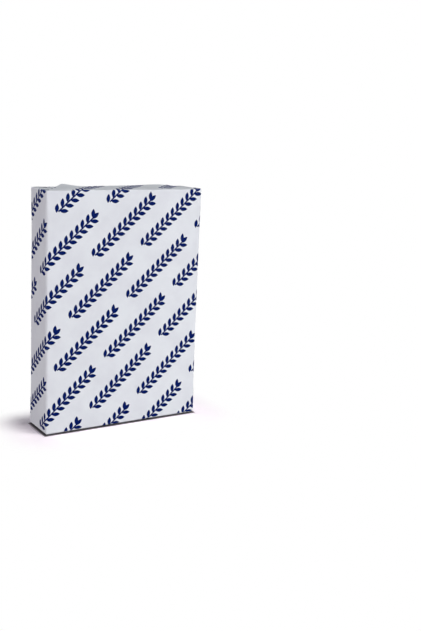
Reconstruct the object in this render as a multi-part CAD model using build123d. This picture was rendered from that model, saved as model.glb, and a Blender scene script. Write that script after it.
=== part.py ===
"""A wrapped ream of A4 office paper, standing on one of its short folded ends.

Millimetres, +Z up. The origin is the middle of the bounding box, at the base.
X runs across the sheets, Z runs along them, and the front face looks along -Y.
The sealed wrapper hides the sheets, so the pack is one solid.
"""

from build123d import *
import os

# The stack of sheets, standing on its short side
SHEET_WIDTH = 210.0
SHEET_LENGTH = 297.0
THICKNESS_AT_TOP = 47.5
THICKNESS_AT_BASE = 52.0  # upright sheets settle and fan out towards the base

# The wrapper, folded round the stack like an envelope
PLY = 0.12  # one thickness of the wrapping paper
LONG_EDGE_RADIUS = 3.0
END_EDGE_RADIUS = 1.5
FLAP_DEPTH = 33.0  # from a flap's fold to its free edge
TOP_FLAP_LIFT = 2.5  # how far the top flap's free edge springs up
SEAM_WIDTH = 20.0  # the glued overlap that runs down the back
SEAM_OFFSET = 32.0  # from the middle of the back to the middle of the overlap

# Plies over the sheets at each end
TUCK_PLIES = 1  # the narrow sides, folded in first
UNDER_FLAP_PLIES = 2  # the back flap and the corner gussets folded under it
OUTER_FLAP_PLIES = 2  # the front flap and its gussets, glued over the back flap

WIDTH = SHEET_WIDTH + 2 * PLY
END_BUILD_UP = (TUCK_PLIES + UNDER_FLAP_PLIES + OUTER_FLAP_PLIES) * PLY
HEIGHT = SHEET_LENGTH + 2 * END_BUILD_UP
DEPTH_AT_TOP = THICKNESS_AT_TOP + 2 * PLY
DEPTH_AT_BASE = THICKNESS_AT_BASE + 2 * PLY

# The overlap is one ply proud of the back, so it counts in the bounding box
DEEPEST = max(DEPTH_AT_TOP, DEPTH_AT_BASE) + PLY
FRONT_Y = -DEEPEST / 2
BACK_Y_AT_TOP = FRONT_Y + DEPTH_AT_TOP
BACK_Y_AT_BASE = FRONT_Y + DEPTH_AT_BASE


def extrude_across(outline, width, middle_x=0.0):
    """Extrude an outline given as (y, z) points along X, centred on middle_x."""
    points = [(0.0, y, z) for y, z in outline]
    face = make_face(Polyline(*points, close=True))
    return Pos(middle_x - width / 2, 0, 0) * extrude(face, amount=width, dir=(1, 0, 0))


def packed_block():
    """The whole pack before its folds: upright front, leaning back, soft edges."""
    side_view = [
        (FRONT_Y, 0.0),
        (BACK_Y_AT_BASE, 0.0),
        (BACK_Y_AT_TOP, HEIGHT),
        (FRONT_Y, HEIGHT),
    ]
    block = extrude_across(side_view, WIDTH)
    lowest = block.edges().group_by(Axis.Z)[0]
    highest = block.edges().group_by(Axis.Z)[-1]
    along_the_sheets = block.edges() - lowest - highest
    block = fillet(along_the_sheets, LONG_EDGE_RADIUS)
    lowest = block.edges().group_by(Axis.Z)[0]
    highest = block.edges().group_by(Axis.Z)[-1]
    return fillet(lowest + highest, END_EDGE_RADIUS)


def flap_prism(fold_y, inward, foot_z, height):
    """A flap's outline, with 45 degree sides from the corners of its fold."""
    free_edge_y = fold_y + inward * FLAP_DEPTH
    half_fold = WIDTH / 2
    half_free_edge = half_fold - FLAP_DEPTH
    corners = [
        (-half_fold, fold_y, foot_z),
        (half_fold, fold_y, foot_z),
        (half_free_edge, free_edge_y, foot_z),
        (-half_free_edge, free_edge_y, foot_z),
    ]
    outline = make_face(Polyline(*corners, close=True))
    return extrude(outline, amount=height, dir=(0, 0, 1))


def end_slab(foot_z, height):
    """A slab over the whole end, wider than the pack."""
    slab = Box(2 * WIDTH, 2 * DEEPEST, height, align=(Align.CENTER, Align.CENTER, Align.MIN))
    return Pos(0, 0, foot_z) * slab


def step_folds(block, back_y, outer_z, direction):
    """Step one end down from the outer flap to the back flap and to the tucks.

    outer_z is the outer flap's face, and direction is +1 at the top, -1 at the base.
    """
    outer_step = OUTER_FLAP_PLIES * PLY
    both_steps = outer_step + UNDER_FLAP_PLIES * PLY
    for step, shows_back_flap in ((outer_step, False), (both_steps, True)):
        foot_z = min(outer_z, outer_z - direction * step)
        bare = end_slab(foot_z, step)
        bare -= flap_prism(FRONT_Y, 1, foot_z, step)
        if shows_back_flap:
            bare -= flap_prism(back_y, -1, foot_z, step)
        block -= bare
    return block


def sprung_top_flap():
    """The top flap's wedge, from nothing at the fold to its lifted free edge."""
    free_edge_y = FRONT_Y + FLAP_DEPTH
    rise_starts_y = FRONT_Y + END_EDGE_RADIUS
    face_z = HEIGHT
    foot_z = face_z - PLY
    side_view = [
        (rise_starts_y, foot_z),
        (free_edge_y, foot_z),
        (free_edge_y, face_z + TOP_FLAP_LIFT),
        (rise_starts_y, face_z),
    ]
    wedge = extrude_across(side_view, WIDTH)
    return wedge & flap_prism(FRONT_Y, 1, foot_z, PLY + TOP_FLAP_LIFT)


def back_seam():
    """The overlap of the wrapper's two long edges, one ply proud of the back."""
    lean = (BACK_Y_AT_TOP - BACK_Y_AT_BASE) / HEIGHT

    def back_y(z):
        return BACK_Y_AT_BASE + lean * z

    foot_z = END_EDGE_RADIUS + END_BUILD_UP
    head_z = HEIGHT - foot_z
    side_view = [
        (back_y(foot_z) - PLY, foot_z),
        (back_y(foot_z) + PLY, foot_z),
        (back_y(head_z) + PLY, head_z),
        (back_y(head_z) - PLY, head_z),
    ]
    return extrude_across(side_view, SEAM_WIDTH, SEAM_OFFSET)


def wrapped_ream():
    ream = packed_block()
    ream = step_folds(ream, BACK_Y_AT_TOP, HEIGHT, 1)
    ream = step_folds(ream, BACK_Y_AT_BASE, 0.0, -1)
    ream += sprung_top_flap()
    ream += back_seam()
    return ream


os.makedirs("parts", exist_ok=True)
export_step(wrapped_ream(), "parts/wrapped_ream.step")
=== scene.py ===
import math

import bpy
import numpy as np
from mathutils import Matrix, Vector, noise


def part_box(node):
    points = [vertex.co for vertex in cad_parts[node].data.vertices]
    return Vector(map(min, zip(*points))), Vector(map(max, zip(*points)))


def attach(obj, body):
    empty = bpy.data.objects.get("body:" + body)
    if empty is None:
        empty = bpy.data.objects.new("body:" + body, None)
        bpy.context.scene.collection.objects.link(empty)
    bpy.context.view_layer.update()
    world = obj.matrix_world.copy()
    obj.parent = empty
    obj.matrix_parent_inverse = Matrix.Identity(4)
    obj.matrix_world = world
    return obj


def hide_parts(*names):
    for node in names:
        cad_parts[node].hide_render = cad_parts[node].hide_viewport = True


# A wrapped ream of A4 paper: one printed sheet of wrapping paper, folded round
# the stack, glued down the back and closed at both ends like an envelope.
# Metres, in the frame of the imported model: X across, front face towards -Y, Z up.

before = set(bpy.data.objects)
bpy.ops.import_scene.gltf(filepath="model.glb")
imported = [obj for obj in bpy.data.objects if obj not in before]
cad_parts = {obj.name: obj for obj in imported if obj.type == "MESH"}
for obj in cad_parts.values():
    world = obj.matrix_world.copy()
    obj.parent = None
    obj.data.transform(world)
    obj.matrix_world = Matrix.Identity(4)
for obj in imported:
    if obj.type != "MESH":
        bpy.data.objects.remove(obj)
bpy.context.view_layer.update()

MM = 0.001
NODE = "wrapped_ream"
node_low, node_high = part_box(NODE)

# The folded pack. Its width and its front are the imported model's, and its depth at
# either end is the same as there.
WIDTH = node_high.x - node_low.x
LEFT_X = node_low.x
FRONT_Y = node_low.y
DEPTH_AT_BASE = 52.24 * MM
DEPTH_AT_TOP = 47.74 * MM
BASE_FOLD_Z = 1.7 * MM
TOP_FOLD_Z = 297.9 * MM
FACE_HEIGHT = TOP_FOLD_Z - BASE_FOLD_Z
FLAP_DEPTH = 33 * MM
PAPER = 0.1 * MM
LONG_EDGE_RADIUS = 3.2 * MM
LONG_EDGE_RADIUS_AT_ENDS = 1.2 * MM
TOP_FOLD_RADIUS = 1.2 * MM
BASE_FOLD_RADIUS = 1.8 * MM
INSIDE_FOLD = 0.15 * MM  # how far inside a flap's fold the layers under it lie
RADIUS_EASE = 22 * MM  # from an end to where the long edges have their full radius

# Over each end's fold line: the level of the tucks, the back flap and the front flap,
# and the gap between a flap and the corner gusset doubled under it
TOP_LEVELS = (0.15 * MM, 0.5 * MM, 0.95 * MM)
BASE_LEVELS = (0.5 * MM, 1.05 * MM, 1.6 * MM)
TOP_PLY_GAP = 0.3 * MM
BASE_PLY_GAP = 0.12 * MM

# From a fold to where a layer has risen to its own level
TUCK_EASE = 5 * MM
FLAP_EASE = 6 * MM
GUSSET_EASE = 7 * MM
CREASE_EASE = 3 * MM

# The top flap's free edge: how far it stands up all along, and its further rises,
# each with its height, its middle from the left face and its reach to either side
FREE_EDGE_LIFT = 0.9 * MM
EDGE_RISES = ((3.3 * MM, 29 * MM, 19 * MM), (1.5 * MM, 158 * MM, 28 * MM))
FLAP_BEND = 1.5  # the power of the rise from the fold to the free edge

# The glued overlap down the back, between the sheet's two long edges
SEAM_WIDTH = 20 * MM
SEAM_MIDDLE_X = 32 * MM
INNER_EDGE_X = SEAM_MIDDLE_X + SEAM_WIDTH / 2
OUTER_EDGE_X = SEAM_MIDDLE_X - SEAM_WIDTH / 2
SEAM_RAMP = 6 * MM  # beside the inner edge, where the outer layer rises over it
SEAM_RISE = 3 * PAPER
SEAM_RISE_ON_ENDS = 2 * PAPER

# The sheet's grid: its pitch on each part, and how far it is finer beside a fold
FACE_PITCH = 4 * MM
SIDE_PITCH = 3 * MM
FLAP_PITCH = 2 * MM
FINE_BY_LONG_EDGE = 9 * MM
FINE_BY_END = 12 * MM
FOLD_STEPS = (0.0, 0.4, 0.8, 1.2, 2.0, 3.0, 4.5, 6.0)  # millimetres from a fold
FIRST_EVEN_STEP = 8.0
SAME_PLACE = 1e-7  # metres

# The sheet's small departures from true: how far they reach, and their size across
BROAD_SLACK = 0.45 * MM
BROAD_SIZE = 75 * MM
FINE_SLACK = 0.16 * MM
FINE_SIZE = 24 * MM
FINE_SHARE_ON_FACES = 0.35  # of what it is near the ends
PUFF = 0.5 * MM  # a low swelling a little way in from each end
PUFF_REACH = 45 * MM
STILL_FOOT = 12 * MM  # above the floor, where the faces grow loose
TOP_WAVE = 0.75 * MM
TOP_WAVE_SIZE = 42 * MM
TOP_RIPPLE = 0.3 * MM
TOP_RIPPLE_SIZE = 15 * MM
TOP_WAVE_REACH = 40 * MM  # below the top fold

# The printed rows, in flat-sheet coordinates from the front face's lower left corner
ROW_ANGLE = math.radians(41.4)
ROW_PITCH = 35.9 * MM
SPRAY_PERIOD = 127.5 * MM
SPRAY_LENGTH = 114.0 * MM
SPRAY_STAGGER = 56.4 * MM
SPRAY_START = 242.5 * MM  # along a row, to the middle of one spray
ROW_START = 194.0 * MM  # across the rows, to the middle of that spray
LEAF_LENGTH = 11.0 * MM
LEAF_WIDTH = 5.0 * MM
LEAF_PITCH = 9.2 * MM
LEAF_ANGLE = math.radians(43)  # between a leaf and its stem
LEAVES_A_SIDE = 12
FIRST_LEAF = 2.0 * MM  # from the foot of the stem
STALK = 0.9 * MM  # from the middle of the stem to where a leaf starts
STEM_WIDTH = 1.9 * MM
PRINT_EDGE = 0.15 * MM  # half the width over which ink fades to bare paper


# ---------------------------------------------------------------- the folded sheet


def smooth_step(value, low, high):
    t = np.clip((value - low) / (high - low), 0.0, 1.0)
    return t * t * (3 - 2 * t)


def noise_at(points, size, seed):
    """Perlin noise, about -1 to 1, at many points, with features of the given size."""
    shift = Vector((seed * 7.31, seed * 3.17, seed * 5.53))
    flat = points.reshape(-1, 3) / size
    values = [noise.noise(Vector(p) + shift) for p in flat]
    return np.array(values).reshape(points.shape[:-1])


def corner(t, radius):
    """A sheet that turns a rounded square corner, at distance t past it.

    Returns how far along the first face it is (0 once past the corner), how far
    along the second face (0 before it), and the angle it has turned.
    """
    turn = np.clip((t + radius) / (2 * radius), 0.0, 1.0) * math.pi / 2
    before = np.minimum(t, -radius) + radius * np.sin(turn)
    after = np.maximum(t, radius) - radius * np.cos(turn)
    return before, after, turn


def steps_from_edge(reach, pitch):
    """Distances from a fold: close together at the fold, then evenly spaced."""
    reach_mm = reach / MM
    # A little short, so that no even step doubles the last one
    evenly = np.arange(FIRST_EVEN_STEP, reach_mm - 0.01, pitch / MM)
    return np.array([*FOLD_STEPS, *evenly, reach_mm]) * MM


FLAP_STEPS = steps_from_edge(FLAP_DEPTH, FLAP_PITCH)


def between(length, near_start, near_end, pitch):
    """Positions along a panel, refined towards either end by the given steps."""
    low, high = near_start[-1], length - near_end[-1]
    middle = np.linspace(low, high, max(2, round((high - low) / pitch) + 1))
    return np.concatenate([near_start[:-1], middle, (length - near_end[:-1])[::-1]])


# Panels of the sheet in order, from its inner edge to its outer edge at the seam.
# Each has its length, its direction and its outward normal in plan.
INNER_BACK, LEFT, FRONT, RIGHT, OUTER_BACK = range(5)
PLAN_DIRECTIONS = np.array([(-1, 0), (0, -1), (1, 0), (0, 1), (-1, 0)], float)
PLAN_NORMALS = np.array([(0, 1), (-1, 0), (0, -1), (1, 0), (0, 1)], float)
INNER_BACK_LENGTH = INNER_EDGE_X - LEFT_X
OUTER_BACK_LENGTH = LEFT_X + WIDTH - OUTER_EDGE_X


def sheet_columns():
    """Each column's panel and its distance from the panel's first corner."""
    side = steps_from_edge(FINE_BY_LONG_EDGE, SIDE_PITCH)
    none = np.array([0.0])
    stations = [
        (INNER_BACK, between(INNER_BACK_LENGTH, none, FLAP_STEPS, FACE_PITCH)),
        (LEFT, between(DEPTH_AT_BASE, side, side, SIDE_PITCH)),
        (FRONT, between(WIDTH, FLAP_STEPS, FLAP_STEPS, FACE_PITCH)),
        (RIGHT, between(DEPTH_AT_BASE, side, side, SIDE_PITCH)),
        (OUTER_BACK, between(OUTER_BACK_LENGTH, FLAP_STEPS, none, FACE_PITCH)),
    ]
    panels, places = [], []
    for panel, distances in stations:
        kept = distances if panel == OUTER_BACK else distances[:-1]
        panels += [panel] * len(kept)
        places += list(kept)
    return np.array(panels), np.array(places)


def sheet_rows():
    """Heights on the flat sheet, 0 at the base fold, from one cut edge to the other."""
    near = steps_from_edge(FINE_BY_END, FLAP_PITCH)
    face = between(FACE_HEIGHT, near, near, FACE_PITCH)
    return np.concatenate([-FLAP_STEPS[:0:-1], face, FACE_HEIGHT + FLAP_STEPS[1:]])


def depth_at(height):
    share = np.clip(height / FACE_HEIGHT, 0.0, 1.0)
    return DEPTH_AT_BASE + (DEPTH_AT_TOP - DEPTH_AT_BASE) * share


def panel_lengths(depth):
    """Each panel's length where the pack is that deep."""
    return [INNER_BACK_LENGTH, depth, WIDTH, depth, OUTER_BACK_LENGTH]


def panel_starts(depth):
    """Each panel's first corner in plan. The inner back has only its cut edge."""
    back_y, right_x = FRONT_Y + depth, LEFT_X + WIDTH
    return [
        (INNER_EDGE_X, back_y),
        (LEFT_X, back_y),
        (LEFT_X, FRONT_Y),
        (right_x, FRONT_Y),
        (right_x, back_y),
    ]


def over_inner_edge(x):
    """1 where the outer back lies on the inner one, at the seam, and 0 beside it."""
    return 1 - smooth_step(x, INNER_EDGE_X, INNER_EDGE_X + SEAM_RAMP)


def on_the_faces(panel, place, height):
    """The point and its outward normal, on the four faces."""
    depth = depth_at(height)
    length = panel_lengths(depth)[panel]
    if panel in (LEFT, RIGHT):
        place = place * depth / DEPTH_AT_BASE
    to_end = min(height, FACE_HEIGHT - height)
    grown = smooth_step(to_end, 0.0, RADIUS_EASE)
    radius = LONG_EDGE_RADIUS_AT_ENDS
    radius += (LONG_EDGE_RADIUS - LONG_EDGE_RADIUS_AT_ENDS) * grown
    along, inset = place, 0.0
    own, last, following = 1.0, 0.0, 0.0
    if panel != INNER_BACK:
        before, after, turn = corner(place, radius)
        along += after - place
        inset -= before
        own, last = math.sin(turn), math.cos(turn)
    if panel != OUTER_BACK:
        before, after, turn = corner(place - length, radius)
        along += before - (place - length)
        inset += after
        own, following = own * math.cos(turn), math.sin(turn)
    normal = own * PLAN_NORMALS[panel]
    normal = normal + last * PLAN_NORMALS[max(panel - 1, 0)]
    normal = normal + following * PLAN_NORMALS[min(panel + 1, OUTER_BACK)]
    normal /= np.linalg.norm(normal)
    start = np.array(panel_starts(depth)[panel])
    plan = start + along * PLAN_DIRECTIONS[panel] - inset * PLAN_NORMALS[panel]
    # The end folds round the faces' upper and lower edges
    up_before, drawn_in_above, _ = corner(height - FACE_HEIGHT, TOP_FOLD_RADIUS)
    down_before, drawn_in_below, _ = corner(-height, BASE_FOLD_RADIUS)
    plan = plan - normal * (drawn_in_above + drawn_in_below)
    z = BASE_FOLD_Z + height
    z += up_before - (height - FACE_HEIGHT) - (down_before + height)
    if panel == OUTER_BACK:
        plan = plan + normal * over_inner_edge(plan[0]) * SEAM_RISE
    return np.array((*plan, z)), np.array((*normal, 0.0))


def top_flap_lift(x, y):
    """How far the outer flap at the top stands up: sprung corners, glued middle."""
    edge_lift = FREE_EDGE_LIFT
    for height, middle, reach in EDGE_RISES:
        edge_lift += height * math.exp(-(((x - middle) / reach) ** 2))
    return edge_lift * (max(y, 0.0) / FLAP_DEPTH) ** FLAP_BEND


class EndFolds:
    """The heights of one end's layers over the fold line, in end coordinates:
    x from the left face and y from the front face."""

    def __init__(self, is_top):
        self.is_top = is_top
        self.depth = DEPTH_AT_TOP if is_top else DEPTH_AT_BASE
        self.fold_radius = TOP_FOLD_RADIUS if is_top else BASE_FOLD_RADIUS
        levels = TOP_LEVELS if is_top else BASE_LEVELS
        self.tuck_level, self.back_level, self.front_level = levels
        self.ply_gap = TOP_PLY_GAP if is_top else BASE_PLY_GAP

    def tuck(self, x, y):
        nearer = min(x, WIDTH - x)
        return self.tuck_level * smooth_step(nearer, 0.0, TUCK_EASE)

    def back_flap(self, x, y):
        from_fold = self.depth - y
        return self.back_level * smooth_step(from_fold, 0.0, FLAP_EASE)

    def front_flap(self, x, y):
        height = self.front_level * smooth_step(y, 0.0, FLAP_EASE)
        return height + (top_flap_lift(x, y) if self.is_top else 0.0)

    def gusset(self, flap, x, y, from_fold, from_crease):
        """The doubled corner under a flap: from the tuck's edge up to the crease."""
        close = self.ply_gap * min(1.0, from_crease / CREASE_EASE)
        below = flap(x, y) - close
        tuck = self.tuck(x, y)
        return tuck + (below - tuck) * smooth_step(from_fold, 0.0, GUSSET_EASE)

    def under_fold(self, from_fold):
        """A layer inside a flap's fold: its distance from the face, and its drop."""
        drop, inset, _ = corner(from_fold, self.fold_radius)
        close = INSIDE_FOLD * (1 - smooth_step(from_fold, 0.0, 2 * self.fold_radius))
        return inset + close, drop - close

    def point(self, panel, place, reach):
        """The folded place of a point that lies reach beyond the fold line."""
        rise, inward, _ = corner(reach, self.fold_radius)
        if panel in (LEFT, RIGHT):
            x, y, level = self.tuck_point(panel, place, inward)
        elif panel == FRONT:
            x, y, level = self.flap_point(place, reach, inward, self.front_flap, True)
        else:
            start = INNER_EDGE_X - LEFT_X if panel == INNER_BACK else WIDTH
            across = start - place
            x, y, level = self.flap_point(across, reach, inward, self.back_flap, False)
            if panel == OUTER_BACK:
                level += over_inner_edge(LEFT_X + x) * SEAM_RISE_ON_ENDS
        height = level + rise
        z = TOP_FOLD_Z + height if self.is_top else BASE_FOLD_Z - height
        return np.array((LEFT_X + x, FRONT_Y + y, z))

    def tuck_point(self, panel, place, inward):
        """A point of a side panel, folded in first."""
        along = place * self.depth / DEPTH_AT_BASE
        y = self.depth - along if panel == LEFT else along
        x = inward if panel == LEFT else WIDTH - inward
        from_edge = min(y, self.depth - y)
        inset, drop = self.under_fold(from_edge)
        level = self.tuck(x, y) + drop
        y = inset if y < self.depth / 2 else self.depth - inset
        return x, y, level

    def flap_point(self, across, reach, inward, flap, from_front):
        """A point of the front or back panel: on its flap or in a corner gusset."""
        from_corner = min(across, WIDTH - across)
        on_gusset = from_corner < reach
        x, from_fold, drop = across, inward, 0.0
        if on_gusset:
            x = inward if across < WIDTH / 2 else WIDTH - inward
            from_fold, drop = self.under_fold(from_corner)
        y = from_fold if from_front else self.depth - from_fold
        if on_gusset:
            level = self.gusset(flap, x, y, from_corner, reach - from_corner)
            return x, y, level + drop
        return x, y, flap(x, y)


def flat_place(panel, place, height):
    """The point's place on the flat sheet, from the front face's lower left corner."""
    depth = depth_at(height)
    if panel in (LEFT, RIGHT):
        place = place * depth / DEPTH_AT_BASE
    starts = (-depth - INNER_BACK_LENGTH, -depth, 0.0, WIDTH, WIDTH + depth)
    return starts[panel] + place, height


def folded_sheet():
    """Every grid point of the sheet: where it is folded to, and where it was flat."""
    panels, places = sheet_columns()
    rows = sheet_rows()
    top, base = EndFolds(True), EndFolds(False)
    points = np.zeros((len(rows), len(panels), 3))
    normals = np.zeros_like(points)
    flat = np.zeros((len(rows), len(panels), 2))
    for i, height in enumerate(rows):
        for j, (panel, place) in enumerate(zip(panels, places)):
            flat[i, j] = flat_place(panel, place, height)
            if height > FACE_HEIGHT:
                points[i, j] = top.point(panel, place, height - FACE_HEIGHT)
                normals[i, j] = (0, 0, 1)
            elif height < 0:
                points[i, j] = base.point(panel, place, -height)
                normals[i, j] = (0, 0, -1)
            else:
                points[i, j], normals[i, j] = on_the_faces(panel, place, height)
    return panels, places, rows, points, normals, flat


def slacken(points, normals):
    """The sheet's small departures from true: loose faces and a wavy top."""
    z = points[..., 2]
    on_faces = np.abs(normals[..., 2]) < 0.5
    near_ends = 1 - smooth_step(np.minimum(z, TOP_FOLD_Z - z), 0.0, PUFF_REACH)
    # The looseness is longer up the faces than across them
    stretched = points * np.array((1.0, 1.0, 0.6))
    loose = BROAD_SLACK * noise_at(stretched, BROAD_SIZE, 1)
    share = FINE_SHARE_ON_FACES + (1 - FINE_SHARE_ON_FACES) * near_ends
    loose += FINE_SLACK * noise_at(points, FINE_SIZE, 2) * share
    # Full where near_ends is a half, and nothing at an end or beyond the reach
    puffed = PUFF * near_ends * (1 - near_ends) * 4
    growing = smooth_step(z, 0.0, STILL_FOOT)
    slack = (loose + puffed) * on_faces * growing
    moved = points + normals * slack[..., None]
    high = smooth_step(z, TOP_FOLD_Z - TOP_WAVE_REACH, TOP_FOLD_Z)
    # The top's waves are the same at every height, and longer from front to back
    plan = points * np.array((1.0, 0.6, 0.0))
    wave = TOP_WAVE * noise_at(plan, TOP_WAVE_SIZE, 3)
    wave += TOP_RIPPLE * noise_at(plan, TOP_RIPPLE_SIZE, 4)
    moved[..., 2] += wave * high
    return moved


def sheet_faces(panels, places, rows):
    """Quads of the grid, split into triangles where a corner crease crosses them."""
    width = len(panels)
    faces = []
    reach = np.maximum(np.maximum(rows - FACE_HEIGHT, -rows), 0.0)
    lengths = np.array(panel_lengths(DEPTH_AT_BASE))[panels]
    from_first = np.where((panels == FRONT) | (panels == OUTER_BACK), places, np.inf)
    from_second = np.where(panels == INNER_BACK, lengths - places, np.inf)
    from_second = np.where(panels == FRONT, lengths - places, from_second)
    # The column after a panel's last one starts the next panel
    ends_panel = np.isin(panels, (LEFT, RIGHT)) & (places < SAME_PLACE)
    from_second = np.where(ends_panel, 0.0, from_second)
    for i in range(len(rows) - 1):
        for j in range(width - 1):
            a, b = i * width + j, i * width + j + 1
            c, d = b + width, a + width
            rising = crosses(from_first, reach, i, j)
            falling = crosses(from_second, reach, i, j)
            outward = reach[i + 1] > reach[i]
            if rising or falling:
                if (rising and outward) or (falling and not outward):
                    faces += [(a, b, c), (a, c, d)]
                else:
                    faces += [(a, b, d), (b, c, d)]
            else:
                faces.append((a, b, c, d))
    return faces


def crosses(distance, reach, i, j):
    """Whether the crease, where distance equals reach, crosses this cell's corners."""
    if reach[i] == reach[i + 1] == 0:
        return False
    near = sorted((distance[j], distance[j + 1]))
    rows_near = sorted((reach[i], reach[i + 1]))
    return all(abs(p - q) < SAME_PLACE for p, q in zip(near, rows_near))


def vertex_normals(points, faces):
    """Each vertex's normal, the mean of its faces' normals weighted by their area."""
    normals = np.zeros_like(points)
    for face in faces:
        corners = points[list(face)]
        normal = np.cross(corners[2] - corners[0], corners[-1] - corners[1])
        normals[list(face)] += normal
    lengths = np.linalg.norm(normals, axis=1, keepdims=True)
    return normals / np.maximum(lengths, 1e-12)


def boundary_loop(height, width):
    """The grid's outer vertices in order, as the faces beside them run."""
    low = list(range(width))
    right = [i * width + width - 1 for i in range(1, height)]
    high = [(height - 1) * width + j for j in range(width - 2, -1, -1)]
    left = [i * width for i in range(height - 2, 0, -1)]
    return low + right + high + left


def make_wrapper(print_material, reverse_material):
    """The sheet as a closed shell of real thickness, with its flat-sheet coordinates."""
    panels, places, rows, points, normals, flat = folded_sheet()
    points = slacken(points, normals)
    outer = points.reshape(-1, 3)
    faces = sheet_faces(panels, places, rows)
    count = len(outer)
    inner = outer - vertex_normals(outer, faces) * PAPER
    loop = boundary_loop(len(rows), len(panels))
    rim = []
    for a, b in zip(loop, loop[1:] + loop[:1]):
        rim.append((b, a, a + count, b + count))
    reverse = [tuple(v + count for v in reversed(face)) for face in faces]
    mesh = bpy.data.meshes.new("wrapper")
    mesh.from_pydata(np.concatenate([outer, inner]).tolist(), [], faces + reverse + rim)
    material_index = [0] * len(faces) + [1] * (len(reverse) + len(rim))
    mesh.polygons.foreach_set("material_index", material_index)
    add_sheet_maps(mesh, flat.reshape(-1, 2), count, len(faces))
    mesh.materials.append(print_material)
    mesh.materials.append(reverse_material)
    mesh.shade_smooth()
    mesh.set_sharp_from_angle(angle=math.radians(50))
    piece = bpy.data.objects.new("wrapper", mesh)
    bpy.context.scene.collection.objects.link(piece)
    return piece


# Where the reverse lies in the baking map: small, above the printed side
REVERSE_SCALE = 0.42
REVERSE_CORNER = np.array((0.01, 0.70))
RIM_WIDTH = np.array((0.004, 0.004))  # so that the sheet's thin rim has an area too


def add_sheet_maps(mesh, flat, count, printed_faces):
    """The flat sheet in metres for the print, and the same laid out for baking."""
    corner_vertex = np.zeros(len(mesh.loops), int)
    mesh.loops.foreach_get("vertex_index", corner_vertex)
    starts = np.zeros(len(mesh.polygons), int)
    mesh.polygons.foreach_get("loop_start", starts)
    first_reverse_corner = starts[printed_faces]
    place = flat[corner_vertex % count]
    sheet = mesh.uv_layers.new(name="sheet")
    sheet.data.foreach_set("uv", place.astype(np.float32).ravel())
    low = flat.min(axis=0)
    span = np.ptp(flat, axis=0).max()
    laid_out = (place - low) / span
    on_reverse = np.arange(len(place)) >= first_reverse_corner
    reverse = laid_out * REVERSE_SCALE + REVERSE_CORNER
    reverse += (corner_vertex < count)[:, None] * RIM_WIDTH
    laid_out = np.where(on_reverse[:, None], reverse, laid_out)
    bake = mesh.uv_layers.new(name="OFBake")
    bake.data.foreach_set("uv", laid_out.astype(np.float32).ravel())
    mesh.uv_layers.active = bake


# ---------------------------------------------------------------- materials


PAPER_COLOUR = (0.765, 0.795, 0.835, 1.0)
PAPER_SHADE_COLOUR = (0.72, 0.742, 0.79, 1.0)
INK_COLOUR = (0.0004, 0.009, 0.098, 1.0)
WORN_INK_COLOUR = (0.035, 0.085, 0.30, 1.0)
REVERSE_COLOUR = (0.74, 0.75, 0.76, 1.0)
PAPER_GLOSS = 0.02  # specular level: matte
REVERSE_ROUGHNESS = 0.8
RELIEF_HEIGHT = 0.12 * MM
RELIEF_STRENGTH = 0.35
RAGGED_EDGE = 0.22 * MM  # how far the ink's edge wanders in the fibres
RAGGED_SIZE = 0.7 * MM
RUB_REACH = 2.2 * MM  # from a fold, where the ink is rubbed
RUB_SIZE = 1.6 * MM
RUB_SHARE = 0.55
INK_PATCH_SIZE = 2.5 * MM
INK_PATCH_SHARE = 0.03  # of the worn colour, where the ink is thinnest
MOTTLE_SIZE = 38 * MM
REVERSE_MOTTLE_SIZE = 12 * MM
LEAST_ROUGHNESS = 0.58
MOST_ROUGHNESS = 0.70
ROUGHNESS_SIZE = 3 * MM
INK_ROUGHNESS_CHANGE = -0.10

# The paper's relief: the size across of each kind and its share of the height
FIBRE_SIZE = 0.5 * MM
FIBRE_SHARE = 0.25
COCKLE_SIZE = 9 * MM
COCKLE_SHARE = 1.6
CREASE_SIZE = 26 * MM
CREASE_SHARE = 0.28
CREASE_LINE = 0.035  # how far from its middle value the noise makes a crease


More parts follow.
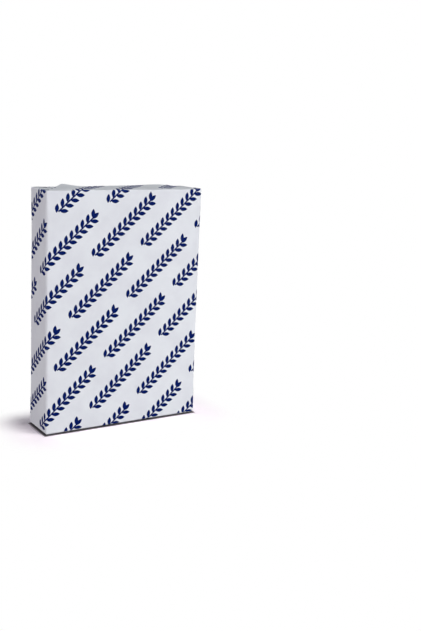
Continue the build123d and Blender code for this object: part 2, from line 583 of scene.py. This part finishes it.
class Shading:
    """Adds nodes to a material or a world and links them, one call for each step."""

    def __init__(self, owner, output_kind="ShaderNodeOutputMaterial"):
        owner.use_nodes = True
        self.owner = owner
        self.nodes = owner.node_tree.nodes
        self.links = owner.node_tree.links
        self.nodes.clear()
        self.output = self.nodes.new(output_kind)

    def add(self, kind, inputs=(), **settings):
        node = self.nodes.new(kind)
        for name, value in settings.items():
            setattr(node, name, value)
        for name, value in dict(inputs).items():
            self.put(node.inputs[name], value)
        return node

    def put(self, socket, value):
        if isinstance(value, bpy.types.NodeSocket):
            self.links.new(value, socket)
        else:
            socket.default_value = value

    def math(self, operation, *values):
        node = self.add("ShaderNodeMath", operation=operation)
        for socket, value in zip(node.inputs, values):
            self.put(socket, value)
        return node.outputs[0]

    def fade(self, value, start, end, to_low=0.0, to_high=1.0):
        """A smooth change from to_low at start to to_high at end."""
        node = self.add("ShaderNodeMapRange", interpolation_type="SMOOTHSTEP")
        for name, given in (
            ("Value", value),
            ("From Min", start),
            ("From Max", end),
            ("To Min", to_low),
            ("To Max", to_high),
        ):
            self.put(node.inputs[name], given)
        return node.outputs["Result"]

    def mix(self, share, first, second):
        node = self.add("ShaderNodeMix", data_type="RGBA")
        self.put(node.inputs["Factor"], share)
        self.put(node.inputs["A"], first)
        self.put(node.inputs["B"], second)
        return node.outputs["Result"]

    def noise(self, place, size, detail=2.0, roughness=0.5):
        """Noise from 0 to 1 whose features are about the given size in metres."""
        inputs = {"Vector": place, "Scale": 1 / size}
        inputs.update({"Detail": detail, "Roughness": roughness})
        return self.add("ShaderNodeTexNoise", inputs).outputs["Fac"]

    def stretched(self, place, x, y):
        inputs = {"Vector": place, "Scale": (x, y, 1.0)}
        return self.add("ShaderNodeMapping", inputs).outputs["Vector"]

    def finish(self, shader):
        self.links.new(shader, self.output.inputs["Surface"])
        return self.owner


def leaf_sprays(shading, u, v, feather):
    """The print: rows of short leafy sprays. 1 where there is ink."""
    calc = shading.math
    x, y = spray_place(shading, u, v)
    from_foot = calc("ADD", x, SPRAY_LENGTH / 2)
    off_stem = calc("ABSOLUTE", y)
    # The leaves on the lower side start half a pitch later
    lower = calc("LESS_THAN", y, 0.0)
    start = calc("MULTIPLY_ADD", lower, LEAF_PITCH / 2, FIRST_LEAF)
    on_stem = calc("SUBTRACT", from_foot, start)
    on_stem = calc("MULTIPLY_ADD", off_stem, -1 / math.tan(LEAF_ANGLE), on_stem)
    leaf = calc("ROUND", calc("DIVIDE", on_stem, LEAF_PITCH))
    leaf = calc("MAXIMUM", leaf, 0.0)
    last_leaf = calc("SUBTRACT", LEAVES_A_SIDE - 1, lower)
    leaf = calc("MINIMUM", leaf, last_leaf)
    beside = calc("MULTIPLY_ADD", leaf, -LEAF_PITCH, on_stem)
    off_axis = calc("MULTIPLY", beside, math.sin(LEAF_ANGLE))
    up_leaf = calc("MULTIPLY", off_stem, 1 / math.sin(LEAF_ANGLE))
    up_leaf = calc("MULTIPLY_ADD", beside, math.cos(LEAF_ANGLE), up_leaf)
    leaves = leaf_ink(shading, up_leaf, off_axis, STALK, feather)
    tip_start = SPRAY_LENGTH - LEAF_LENGTH
    tip = leaf_ink(shading, from_foot, y, tip_start, feather)
    beside_stem = calc("SUBTRACT", calc("ADD", off_stem, feather), STEM_WIDTH / 2)
    half_stem = (SPRAY_LENGTH - LEAF_LENGTH) / 2
    past_end = calc("SUBTRACT", calc("ABSOLUTE", x), half_stem)
    stem = calc("MULTIPLY", ink_inside(shading, beside_stem), ink_inside(shading, past_end))
    return calc("MAXIMUM", calc("MAXIMUM", leaves, tip), stem)


def ink_inside(shading, outside):
    """1 where the distance outside an outline is below 0, softly 0 beyond it."""
    return shading.fade(outside, -PRINT_EDGE, PRINT_EDGE, 1.0, 0.0)


def spray_place(shading, u, v):
    """Where a point of the sheet lies in its own spray: along it and above its stem."""
    calc = shading.math
    cosine, sine = math.cos(ROW_ANGLE), math.sin(ROW_ANGLE)
    along = calc("ADD", calc("MULTIPLY", u, cosine), calc("MULTIPLY", v, sine))
    across = calc("SUBTRACT", calc("MULTIPLY", v, cosine), calc("MULTIPLY", u, sine))
    across = calc("SUBTRACT", across, ROW_START)
    row = calc("ROUND", calc("DIVIDE", across, ROW_PITCH))
    y = calc("MULTIPLY_ADD", row, -ROW_PITCH, across)
    odd_row = calc("FLOORED_MODULO", row, 2.0)
    shift = calc("MULTIPLY_ADD", odd_row, SPRAY_STAGGER, SPRAY_START - SPRAY_PERIOD / 2)
    cycle = calc("FLOORED_MODULO", calc("SUBTRACT", along, shift), SPRAY_PERIOD)
    return calc("SUBTRACT", cycle, SPRAY_PERIOD / 2), y


def leaf_ink(shading, along, off_axis, start, feather):
    """A leaf with pointed ends, from start along its axis. 1 where there is ink."""
    calc = shading.math
    share = calc("DIVIDE", calc("SUBTRACT", along, start), LEAF_LENGTH)
    fullness = calc("MULTIPLY", share, calc("SUBTRACT", 1.0, share))
    half_width = calc("MULTIPLY", fullness, 2 * LEAF_WIDTH)
    outside = calc("SUBTRACT", calc("ABSOLUTE", off_axis), half_width)
    return ink_inside(shading, calc("ADD", outside, feather))


def near_folds(shading, u, v):
    """1 on the fold lines of the flat sheet, fading to 0 a few millimetres away."""
    calc = shading.math
    depth = (DEPTH_AT_BASE + DEPTH_AT_TOP) / 2
    upright = [(u, line) for line in (-depth, 0.0, WIDTH, WIDTH + depth)]
    level = [(v, line) for line in (0.0, FACE_HEIGHT)]
    distances = []
    for place, line in upright + level:
        distances.append(calc("ABSOLUTE", calc("SUBTRACT", place, line)))
    nearest = distances[0]
    for distance in distances[1:]:
        nearest = calc("MINIMUM", nearest, distance)
    return shading.fade(nearest, 0.0, RUB_REACH, 1.0, 0.0)


def paper_relief(shading, place):
    """Fibres and faint creases, as a height for the bump node."""
    calc = shading.math
    along_fibres = shading.stretched(place, 1.0, 0.35)
    fibres = shading.noise(along_fibres, FIBRE_SIZE, 4.0, 0.6)
    cockle = shading.noise(place, COCKLE_SIZE, 3.0, 0.55)
    along_creases = shading.stretched(place, 0.45, 1.0)
    crease = shading.noise(along_creases, CREASE_SIZE, 2.0, 0.6)
    crease = calc("ABSOLUTE", calc("SUBTRACT", crease, 0.5))
    crease = shading.fade(crease, 0.0, CREASE_LINE, 1.0, 0.0)
    height = calc("MULTIPLY", fibres, FIBRE_SHARE)
    height = calc("MULTIPLY_ADD", cockle, COCKLE_SHARE, height)
    return calc("MULTIPLY_ADD", crease, CREASE_SHARE, height)


def paper_surface(shading, place, colour, roughness):
    """A matte sheet with fibres and faint creases."""
    relief = {"Height": paper_relief(shading, place)}
    relief.update({"Strength": RELIEF_STRENGTH, "Distance": RELIEF_HEIGHT})
    bump = shading.add("ShaderNodeBump", relief)
    surface = shading.add(
        "ShaderNodeBsdfPrincipled",
        {
            "Base Color": colour,
            "Roughness": roughness,
            "Specular IOR Level": PAPER_GLOSS,
            "Normal": bump.outputs["Normal"],
        },
    )
    return shading.finish(surface.outputs["BSDF"])


def printed_paper():
    """The outside: pale paper with navy leaf sprays, a little rubbed at the folds."""
    shading = Shading(bpy.data.materials.new("printed_wrapping_paper"))
    place = shading.add("ShaderNodeUVMap", uv_map="sheet").outputs["UV"]
    split = shading.add("ShaderNodeSeparateXYZ", {"Vector": place})
    u, v = split.outputs["X"], split.outputs["Y"]
    calc = shading.math
    ragged = calc("SUBTRACT", shading.noise(place, RAGGED_SIZE, 2.0), 0.5)
    ink = leaf_sprays(shading, u, v, calc("MULTIPLY", ragged, RAGGED_EDGE))
    rubbed = shading.fade(shading.noise(place, RUB_SIZE, 3.0, 0.7), 0.42, 0.62)
    rubbed = calc("MULTIPLY", rubbed, near_folds(shading, u, v))
    rubbed = calc("MULTIPLY", rubbed, RUB_SHARE)
    mottle = shading.fade(shading.noise(place, MOTTLE_SIZE, 3.0, 0.6), 0.35, 0.7)
    paper = shading.mix(mottle, PAPER_COLOUR, PAPER_SHADE_COLOUR)
    patches = shading.noise(place, INK_PATCH_SIZE, 3.0, 0.6)
    thinned = shading.fade(patches, 0.3, 0.8, 0.0, INK_PATCH_SHARE)
    ink_colour = shading.mix(thinned, INK_COLOUR, WORN_INK_COLOUR)
    ink_colour = shading.mix(rubbed, ink_colour, WORN_INK_COLOUR)
    colour = shading.mix(ink, paper, ink_colour)
    patches = shading.noise(place, ROUGHNESS_SIZE, 2.0)
    roughness = shading.fade(patches, 0.2, 0.8, LEAST_ROUGHNESS, MOST_ROUGHNESS)
    roughness = calc("MULTIPLY_ADD", ink, INK_ROUGHNESS_CHANGE, roughness)
    return paper_surface(shading, place, colour, roughness)


def plain_paper():
    """The reverse and the cut edges, without print."""
    shading = Shading(bpy.data.materials.new("wrapping_paper_reverse"))
    place = shading.add("ShaderNodeUVMap", uv_map="sheet").outputs["UV"]
    mottle = shading.noise(place, REVERSE_MOTTLE_SIZE, 3.0, 0.6)
    mottle = shading.fade(mottle, 0.3, 0.7)
    colour = shading.mix(mottle, REVERSE_COLOUR, PAPER_SHADE_COLOUR)
    return paper_surface(shading, place, colour, REVERSE_ROUGHNESS)


# ---------------------------------------------------------------- studio

WHITE = (1.0, 1.0, 1.0, 1.0)
FLOOR_SIZE = 12.0
FLOOR_COLOUR = (0.18, 0.165, 0.175, 1.0)
SEEN_FLOOR_COLOUR = (1.5, 1.38, 1.46, 1.0)  # past white, so that only shadow shows
FOOT_SHADE_WIDTH = 5 * MM  # round the object's foot, where the seen floor keeps its own dark colour: a painted contact shade
SHADOW_REACH = 60 * MM  # from the object's foot to where the floor is pure white
WORLD_LIGHT = (0.93, 0.96, 1.0, 1.0)
WORLD_STRENGTH = 0.08


def seen_directly(shading):
    """1 for rays from the camera, a glossy surface or a transparent one."""
    path = shading.add("ShaderNodeLightPath")
    seen = path.outputs["Is Camera Ray"]
    for kind in ("Is Glossy Ray", "Is Transmission Ray"):
        seen = shading.math("MAXIMUM", seen, path.outputs[kind])
    return seen


def floor_material():
    """White with the object's shadow, and a dark band painted round its foot as contact
    shade. It turns pure white away from the object.
    """
    shading = Shading(bpy.data.materials.new("pale_floor"))
    place = shading.add("ShaderNodeTexCoord").outputs["Object"]
    split = shading.add("ShaderNodeSeparateXYZ", {"Vector": place})
    outside = []
    for axis, half_side in (("X", WIDTH / 2), ("Y", DEPTH_AT_BASE / 2)):
        beyond = shading.math("ABSOLUTE", split.outputs[axis])
        beyond = shading.math("SUBTRACT", beyond, half_side)
        outside.append(shading.math("MAXIMUM", beyond, 0.0))
    squares = shading.math("MULTIPLY", outside[0], outside[0])
    squares = shading.math("MULTIPLY_ADD", outside[1], outside[1], squares)
    away = shading.math("SQRT", squares)
    seen = seen_directly(shading)
    # Close to the foot the seen floor stays dark, a painted contact shade that fades out
    # over the first few millimetres
    clear_of_foot_shade = shading.math("MULTIPLY", shading.fade(away, 0.0, FOOT_SHADE_WIDTH), seen)
    colour = shading.mix(clear_of_foot_shade, FLOOR_COLOUR, SEEN_FLOOR_COLOUR)
    lit = shading.add("ShaderNodeBsdfDiffuse", {"Color": colour})
    white = shading.add("ShaderNodeEmission", {"Color": WHITE, "Strength": 1.0})
    share = shading.math("MULTIPLY", shading.fade(away, FOOT_SHADE_WIDTH, SHADOW_REACH), seen)
    parts = {0: share, 1: lit.outputs[0], 2: white.outputs[0]}
    surface = shading.add("ShaderNodeMixShader", parts)
    return shading.finish(surface.outputs[0])


def make_floor():
    half = FLOOR_SIZE / 2
    corners = [(-half, -half, 0), (half, -half, 0), (half, half, 0), (-half, half, 0)]
    mesh = bpy.data.meshes.new("floor")
    mesh.from_pydata(corners, [], [(0, 1, 2, 3)])
    mesh.materials.append(floor_material())
    floor = bpy.data.objects.new("floor", mesh)
    bpy.context.scene.collection.objects.link(floor)
    return floor


def make_world():
    """Faint soft light from all round. Seen directly, it is plain white."""
    world = bpy.data.worlds.new("studio")
    bpy.context.scene.world = world
    shading = Shading(world, "ShaderNodeOutputWorld")
    glow = {"Color": WORLD_LIGHT, "Strength": WORLD_STRENGTH}
    soft = shading.add("ShaderNodeBackground", glow)
    white = shading.add("ShaderNodeBackground", {"Color": WHITE, "Strength": 1.0})
    parts = {0: seen_directly(shading), 1: soft.outputs[0], 2: white.outputs[0]}
    shading.finish(shading.add("ShaderNodeMixShader", parts).outputs[0])


LAMP_AIM = Vector((0, 0, 0.14))  # about the middle of the ream
LOW_LAMP_HEIGHT = 0.13  # lights the upright faces, and hardly the floor


def add_softbox(name, place, size, power, colour=(1.0, 1.0, 1.0)):
    """An area lamp at a place, turned to the ream, with its power in watts."""
    lamp = bpy.data.lights.new(name, "AREA")
    lamp.shape = "RECTANGLE"
    lamp.size, lamp.size_y = size
    lamp.energy = power
    lamp.color = colour
    softbox = bpy.data.objects.new(name, lamp)
    softbox.location = place
    aim = LAMP_AIM - Vector(place)
    softbox.rotation_euler = aim.to_track_quat("-Z", "Y").to_euler()
    bpy.context.scene.collection.objects.link(softbox)


def make_lights():
    low = LOW_LAMP_HEIGHT
    add_softbox("overhead", (0.15, -0.40, 2.8), (0.4, 0.4), 32)
    add_softbox("key", (1.25, -1.4, low), (0.9, 0.22), 27.5)
    add_softbox("left_fill", (-1.6, -0.8, low), (0.8, 0.22), 17, (1.0, 0.95, 0.98))
    add_softbox("back_fill", (0.4, 2.8, low), (1.2, 0.22), 50)


# The photograph's viewpoint
CAMERA_PLACE = (-0.5088, -1.0071, 0.3909)
CAMERA_YAW = math.radians(32.93)  # to the right of +Y
CAMERA_DIP = math.radians(12.52)
CAMERA_ROLL = math.radians(2.43)
LENS = 51.58


def make_camera():
    lens = bpy.data.cameras.new("camera")
    lens.lens = LENS
    lens.sensor_width = 36
    lens.clip_start, lens.clip_end = 0.01, 50
    camera = bpy.data.objects.new("camera", lens)
    turned = Matrix.Rotation(-CAMERA_YAW, 4, "Z")
    dipped = Matrix.Rotation(math.pi / 2 - CAMERA_DIP, 4, "X")
    rolled = Matrix.Rotation(CAMERA_ROLL, 4, "Z")
    camera.matrix_world = Matrix.Translation(CAMERA_PLACE) @ turned @ dipped @ rolled
    bpy.context.scene.collection.objects.link(camera)
    bpy.context.scene.camera = camera


# ---------------------------------------------------------------- the scene

bpy.context.scene.view_settings.view_transform = "Standard"
make_world()
make_lights()
make_camera()
make_floor()

wrapper = make_wrapper(printed_paper(), plain_paper())
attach(wrapper, "root")
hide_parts(NODE)
